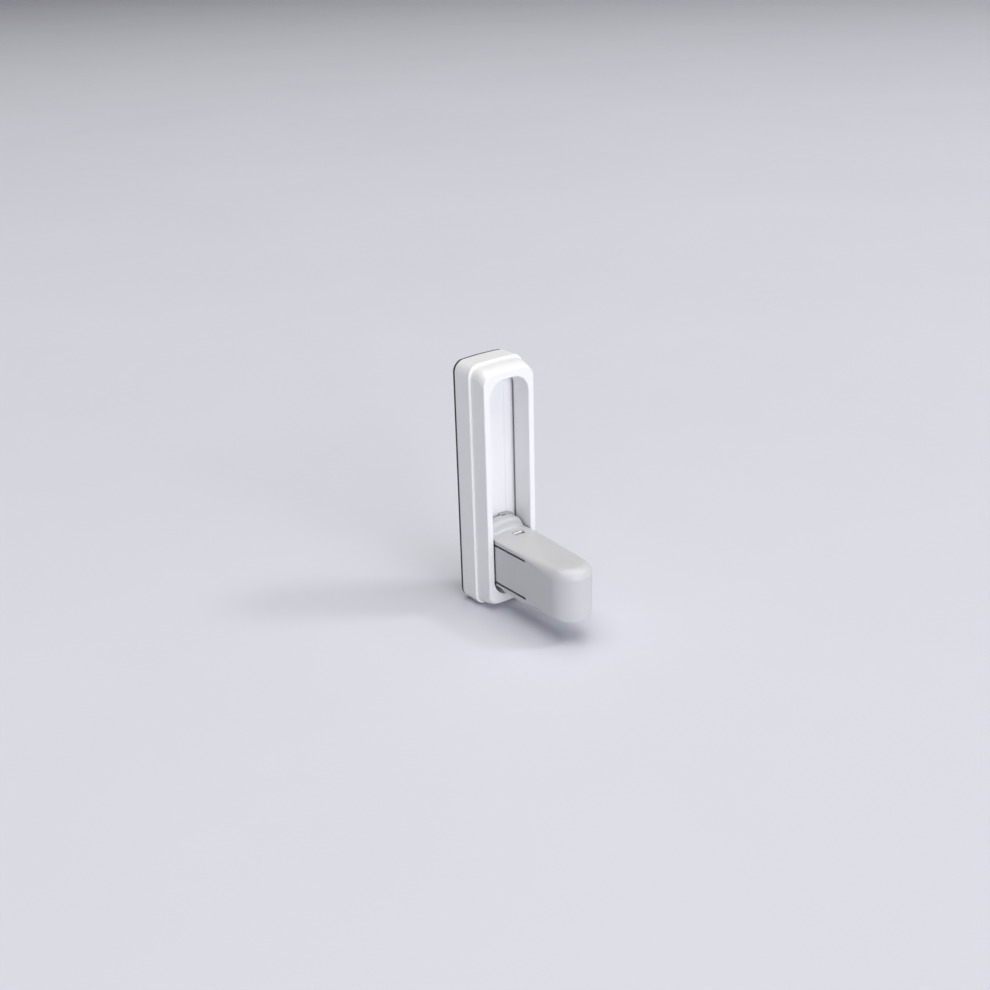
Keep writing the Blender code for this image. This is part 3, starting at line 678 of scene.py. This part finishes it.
def collar_root(b):
    """The hollow curve between the collar's front and the arm's top."""
    rings = []
    for i in range(25):
        x = -9.3 + 18.6 * i / 24
        k = 1.0 - 0.6 * (abs(x) / 9.3) ** 6
        top = ARM_Z1 - 0.25 * (x / 5.7) ** 2 if abs(x) < 5.7 else \
            ARM_Z1 - 1.05 + 0.8 * math.sqrt(1 - ((abs(x) - 5.7) / 4.5) ** 2)
        curve = [(x, -16.0 - 1.8 * (1 - math.cos(a)), top - 0.015 + 1.8 * k * (1 - math.sin(a))) for a in quarter(14)]
        rings.append([(x, -15.6, ARM_Z1 - 1.5), (x, -15.6, top + 1.8 * k)] + curve + [(x, -17.8, ARM_Z1 - 1.5)])
    loft(b, rings)


def arm_hollow(b):
    hx, z0, z1 = ARM_HX - WALL, ARM_Z0 + WALL, ARM_Z1 - WALL
    loft(b, [plan(hx - 0.8, -9.0, TIP_Y, z0, seg=24), plan(hx, -9.0, TIP_Y, z0 + 0.8, seg=24),
             plan(hx, -9.0, TIP_Y, z1 - 1.6, seg=24), plan(hx - 1.6, -9.0, TIP_Y, z1, seg=24)])


def window_outline():
    """The press tab's opening from the side: the tab itself and a slit with a round end above and below it."""
    half = SLIT_W / 2
    end = COLLAR_Y1 + 0.05
    pts = [(end, SLIT_BOTTOM - half), (end, SLIT_TOP + half)]
    for a in quarter(8, 90, 270):
        pts.append((ROOT_Y + half * math.cos(a), SLIT_TOP + half * math.sin(a)))
    for a in quarter(8, 90, 270):
        pts.append((ROOT_Y + half * math.cos(a), SLIT_BOTTOM + half * math.sin(a)))
    return pts


def rib(b):
    """A low rounded rib across the underside, with its ends drawn in."""
    rows = []
    for i in range(21):
        t = -1 + i / 10
        x = 9.6 * t
        high = 0.5 * max(0.0, 1 - abs(t) ** 10) ** 0.5
        row = []
        for k in range(17):
            s = k / 16
            row.append((x, -27.0 - 12.8 * s, ARM_Z0 - high * math.sin(math.pi * s) ** 0.8 - 0.03))
        rows.append(row + [(x, -39.8, ARM_Z0 + 0.8), (x, -27.0, ARM_Z0 + 0.8)])
    loft(b, rows)


cut(arm, "UNION", collar)
cut(arm, "UNION", collar_root)
cut(arm, "DIFFERENCE", lambda b: box(b, STEP_X - 0.3, STEP_X + 2.2, COLLAR_Y0 + 1.0, COLLAR_Y0 - 0.7, -17.9, -15.0))
cut(arm, "UNION", rib)
cut(arm, "DIFFERENCE", arm_hollow)
cut(arm, "DIFFERENCE", lambda b: (prism_x(b, window_outline(), -12.0, -7.6), prism_x(b, window_outline(), 7.6, 12.0)))
cut(arm, "DIFFERENCE", lambda b: box(b, SNAP_X0, SNAP_X1, SNAP_Y0, SNAP_Y1, ARM_Z1 - 2.6, ARM_Z1 + 1.0))
settle(arm)


def window_edge(p):
    side = abs(p.x) > ARM_HX - 0.15 and ROOT_Y + 0.02 < p.y < COLLAR_Y1 - 0.05 and \
        SLIT_BOTTOM - 0.6 < p.z < SLIT_TOP + 0.6
    round_end = abs(p.x) > ARM_HX - 0.15 and p.y <= ROOT_Y + 0.02 and p.y > ROOT_Y - 0.6
    straight_root = round_end and SLIT_BOTTOM + 0.52 < p.z < SLIT_TOP - 0.52
    snap = p.z > ARM_Z1 - 0.3 and SNAP_X0 - 0.1 < p.x < SNAP_X1 + 0.1 and SNAP_Y1 - 0.1 < p.y < SNAP_Y0 + 0.1
    return (side or round_end or snap) and not straight_root


soften(arm, 0.14, window_edge)
shade(arm)
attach(arm, "arm")
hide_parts("arm_shell")

# ------------------------------------------------------------------ press tabs
TAB_Z0, TAB_Z1 = SLIT_BOTTOM + SLIT_W / 2, SLIT_TOP - SLIT_W / 2


def tab_ring(side, y, outer, inner, r):
    """A section across the tab at y, with rounded outer edges."""
    pts = [(inner, TAB_Z0), (outer - r, TAB_Z0)]
    pts += [(outer - r + r * math.sin(a), TAB_Z0 + r - r * math.cos(a)) for a in quarter(4)][1:]
    pts += [(outer, TAB_Z0 + (TAB_Z1 - TAB_Z0) * i / 8) for i in range(1, 8)]
    pts += [(outer - r + r * math.cos(a), TAB_Z1 - r + r * math.sin(a)) for a in quarter(4)]
    pts += [(inner, TAB_Z1)]
    return [(side * x, y, z) for x, z in pts]


for side, word in ((-1, "left"), (1, "right")):
    bm = bmesh.new()
    rings = []
    stations = 52
    for i in range(stations + 1):
        y = ROOT_Y + (TAB_FREE_Y - 0.5 - ROOT_Y) * i / stations
        inner = ARM_HX - 0.9 - 0.7 * min(1.0, max(0.0, (y - ROOT_Y - 1.6) / 2.0))
        rings.append(tab_ring(side, y, ARM_HX, inner, 0.14))
    for a in quarter(6)[1:]:
        rings.append(tab_ring(side, TAB_FREE_Y - 0.5 + 0.5 * math.sin(a), ARM_HX - 0.6 * (1 - math.cos(a)),
                              ARM_HX - WALL, 0.14))
    loft(bm, rings)
    tab = shade(new_object(f"side_tab_{word}", bm, ARM_GREY))
    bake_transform(tab)
    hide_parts(f"press_tab_{word}")

    # pawl behind the tab
    bm = bmesh.new()
    leg = [(8.3, -27.5), (8.3, -10.5), (8.3, -8.9), (7.1, -8.9), (7.1, -27.0), (7.5, -27.5)]
    loft(bm, [[(side * x, y, z) for x, y in leg] for z in (-37.4, -30.1)])
    pawl = new_object(f"ratchet_pawl_{word}", bm, ACETAL)

    def pawl_hook(b, side=side):
        z = RACK_Z0 + PITCH * 2 + 0.15
        pts = [(7.6, z), (12.6, z), (12.6, z + 0.4), (11.6, z + 1.7), (11.6, z + PITCH),
               (12.6, z + PITCH), (12.6, z + PITCH + 0.4), (11.6, z + PITCH + 1.7), (7.6, z + PITCH + 1.7)]
        prism_y(b, [(side * x, zz) for x, zz in pts], -8.85, -9.5)

    def pawl_root(b, side=side):
        z = RACK_Z0 + PITCH * 2 + 0.2
        xa, xb = sorted((side * 7.7, side * 9.9))
        box(b, xa, xb, -9.0, -10.5, z, z + PITCH + 1.6)

    def spring_peg(b, side=side):
        loft(b, [[(side * x, SPRING_Y + r * math.cos(2 * math.pi * i / 28),
                   ARM_ZC + r * math.sin(2 * math.pi * i / 28)) for i in range(28)]
                 for x, r in ((7.6, 1.45), (5.9, 1.45), (5.6, 1.35), (5.5, 1.1))])

    cut(pawl, "UNION", pawl_hook)
    cut(pawl, "UNION", pawl_root)
    cut(pawl, "UNION", spring_peg)
    settle(pawl)
    soften(pawl, 0.08, angle=35)
    shade(pawl)
    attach(pawl, f"tab_{word}")
    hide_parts(f"pawl_{word}")

# ------------------------------------------------------------------ release spring
bm = bmesh.new()
STEPS, SIDES = 36, 12
rings = []
total = SPRING_TURNS * STEPS
for i in range(total + 1):
    t = i / total
    u = t - math.sin(2 * math.pi * t) / (2 * math.pi) * 0.35
    x = (SPRING_HX - WIRE_R) * (2 * u - 1)
    a = 2 * math.pi * SPRING_TURNS * t
    ca, sa = math.cos(a), math.sin(a)
    ring = []
    for k in range(SIDES):
        b = 2 * math.pi * k / SIDES
        r = SPRING_R + WIRE_R * math.cos(b)
        ring.append((x + WIRE_R * math.sin(b), SPRING_Y + r * ca, ARM_ZC + r * sa))
    rings.append(ring)
bm.free()
# the spring is made as two halves, left and right
for word, part in (("left", rings[:total // 2 + 1]), ("right", rings[total // 2:])):
    bm = bmesh.new()
    loft(bm, part)
    spring = shade(new_object(f"return_spring_{word}", bm, STEEL), 50)
    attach(spring, "arm")
    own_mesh(spring)
    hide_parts("release_spring")


# ------------------------------------------------------------------ screws
def screw(name, x, z, top, head, neck, shank, tip, head_r):
    """A countersunk screw with a cross recess and a thread of shallow turns."""
    bm = bmesh.new()
    profile = [(head_r * 0.985, top), (head_r, top - 0.06), (head_r, top - 0.12), (shank + 0.12, head), (shank, neck)]
    y = neck
    while y > tip + 1.1:
        profile += [(shank - 0.02, y - 0.06), (shank + 0.0, y - 0.26), (shank + 0.0, y - 0.30), (shank - 0.16, y - 0.46)]
        y -= 0.62
    profile += [(shank - 0.16, y - 0.1), (0.42, tip + 0.15), (0.2, tip)]
    turned_y(bm, x, z, profile, 28)
    piece = new_object(name, bm, ZINC)

    def cross(b):
        arm, half = head_r * 0.62, 0.22
        plan = [(arm, half), (half, half), (half, arm), (-half, arm), (-half, half), (-arm, half),
                (-arm, -half), (-half, -half), (-half, -arm), (half, -arm), (half, -half), (arm, -half)]
        loft(b, [[(x + px * k, yy, z + pz * k) for px, pz in plan] for yy, k in ((top + 0.3, 1.0), (top - 0.9, 0.45))])

    cut(piece, "DIFFERENCE", cross)
    settle(piece)
    shade(piece, 28)
    return piece


for number, (sx, sz) in enumerate(((-1, 1), (1, 1), (-1, -1), (1, -1)), 1):
    piece = screw(f"frame_fixing_{number}", sx * BOSS_X, sz * BOSS_Z, -1.3, -2.4, -2.7, 0.95, -9.7, 2.0)
    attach(piece, "base")
    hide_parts(f"frame_screw_{number}")
for number, z in enumerate(FOOT_SCREWS, 1):
    piece = screw(f"foot_fixing_{number}", 0.0, z, -9.15, -10.1, -10.4, 1.0, -15.0, 1.95)
    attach(piece, "arm")
    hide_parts(f"foot_screw_{number}")

# ------------------------------------------------------------------ floor, light and camera
bm = bmesh.new()
bmesh.ops.create_grid(bm, x_segments=40, y_segments=40, size=30000.0)
for v in bm.verts:
    v.co.z = -58.35
floor_mat, tree, bsdf = shader("floor_paint")
coords = tree.nodes.new("ShaderNodeTexCoord").outputs["Object"]
cloud = noise(tree, coords, 3.0, 4.0, 0.6)
tree.links.new(mixed(tree, spread(tree, cloud.outputs["Fac"], 0.0, 1.0), (0.665, 0.675, 0.745), (0.685, 0.695, 0.765)),
               bsdf.inputs["Base Color"])
tree.links.new(spread(tree, noise(tree, coords, 40.0, 3.0).outputs["Fac"], 0.62, 0.70), bsdf.inputs["Roughness"])
floor = new_object("floor", bm, floor_mat)

world = bpy.data.worlds.new("studio")
bpy.context.scene.world = world
world.use_nodes = True
back = world.node_tree.nodes["Background"]
back.inputs["Color"].default_value = (0.93, 0.94, 1.0, 1.0)
level_up = world.node_tree.nodes.new("ShaderNodeSeparateXYZ")
world.node_tree.links.new(world.node_tree.nodes.new("ShaderNodeTexCoord").outputs["Generated"], level_up.inputs[0])
world.node_tree.links.new(spread(world.node_tree, level_up.outputs["Z"], 0.60, 0.08, 0.13, 0.40), back.inputs["Strength"])


def area_light(name, direction, distance, size, power, colour, target=(0.0, -0.03, -0.01)):
    data = bpy.data.lights.new(name, "AREA")
    data.shape = "SQUARE"
    data.size = size
    data.energy = power
    data.color = colour
    obj = bpy.data.objects.new(name, data)
    bpy.context.scene.collection.objects.link(obj)
    d = Vector(direction).normalized()
    obj.location = Vector(target) + d * distance
    obj.rotation_euler = d.to_track_quat("Z", "Y").to_euler()
    return obj


area_light("overhead", (0.0, -0.12, 1.0), 6.0, 6.4, 350.0, (1.0, 0.985, 0.94))
area_light("front", (-0.10, -0.97, 0.22), 7.0, 4.2, 288.0, (0.925, 0.93, 1.0))
area_light("side", (0.55, -0.42, 0.72), 6.0, 1.0, 64.0, (0.97, 0.98, 1.0))

camera = bpy.data.cameras.new("camera")
camera_object = bpy.data.objects.new("camera", camera)
bpy.context.scene.collection.objects.link(camera_object)
right = Vector((0.78881874, -0.61394675, -0.02888582))
up = Vector((0.28002439, 0.31715343, 0.90609053))
backwards = Vector((-0.54713009, -0.72282992, 0.42209663))
place = Vector((-0.326617, -0.432251, 0.230026))
camera_object.matrix_world = Matrix(((right.x, up.x, backwards.x, place.x), (right.y, up.y, backwards.y, place.y),
                                     (right.z, up.z, backwards.z, place.z), (0, 0, 0, 1)))
camera.sensor_width = 36.0
camera.lens = 1292.75 / 990 * 36.0
camera.shift_x = 9.05 / 990
camera.shift_y = 24.42 / 990
camera.clip_start = 0.01
camera.clip_end = 60.0
bpy.context.scene.camera = camera_object
bpy.context.scene.view_settings.view_transform = "Standard"
